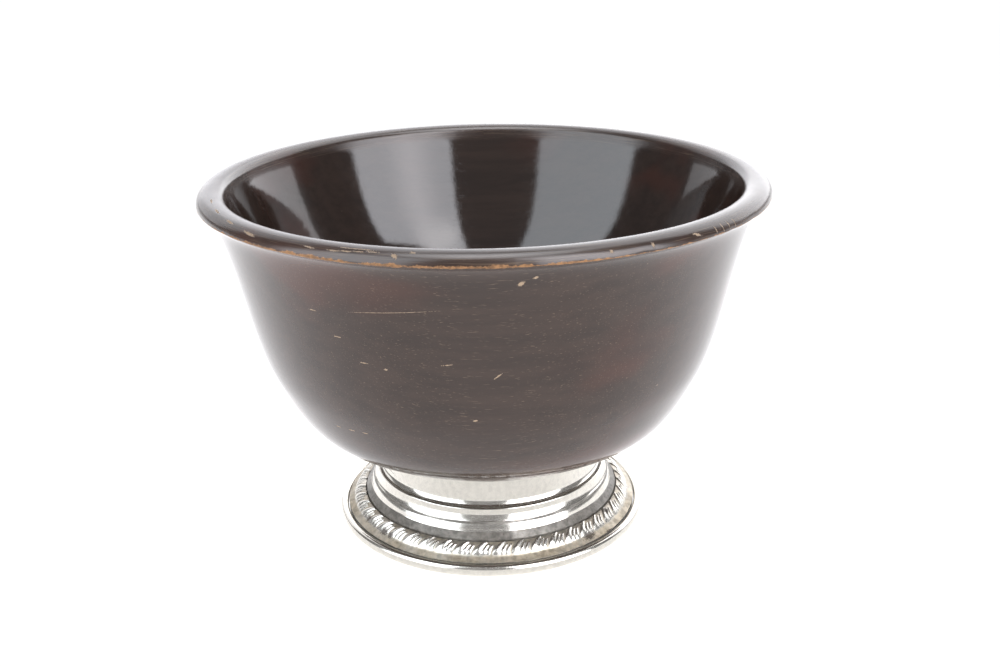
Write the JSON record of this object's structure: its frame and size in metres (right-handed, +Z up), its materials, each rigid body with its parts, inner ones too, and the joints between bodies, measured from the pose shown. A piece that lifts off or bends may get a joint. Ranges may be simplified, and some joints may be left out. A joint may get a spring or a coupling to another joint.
{
  "type": "wooden bowl",
  "caption": "Deep turned wooden bowl with a swelling side and a flared lip, standing on a filled silver foot with a border of slanted lobes, held by a screw from below.",
  "frame": {"origin": "on the table, at the centre of the foot, on the axis that the bowl is turned about", "axes": "+Z up along the turning axis. The picture is taken from the -Y side, with +X to the right"},
  "size_m": [0.152, 0.152, 0.0981],
  "materials": {
    "turned_wood": "polished dark wood",
    "polished_silver": "polished silver, tarnished in the hollows",
    "dull_silver": "dull scratched silver",
    "hard_filling": "rough",
    "steel": "dull steel"
  },
  "bodies": {
    "root": {"wooden_bowl": "turned_wood", "foot_shell": "polished_silver", "gadroon_border": "polished_silver", "wire_edge": "polished_silver", "foot_core": "hard_filling", "base_pan": "dull_silver", "screw_washer": "steel", "centre_screw": "steel"}
  },
  "joints": []
}
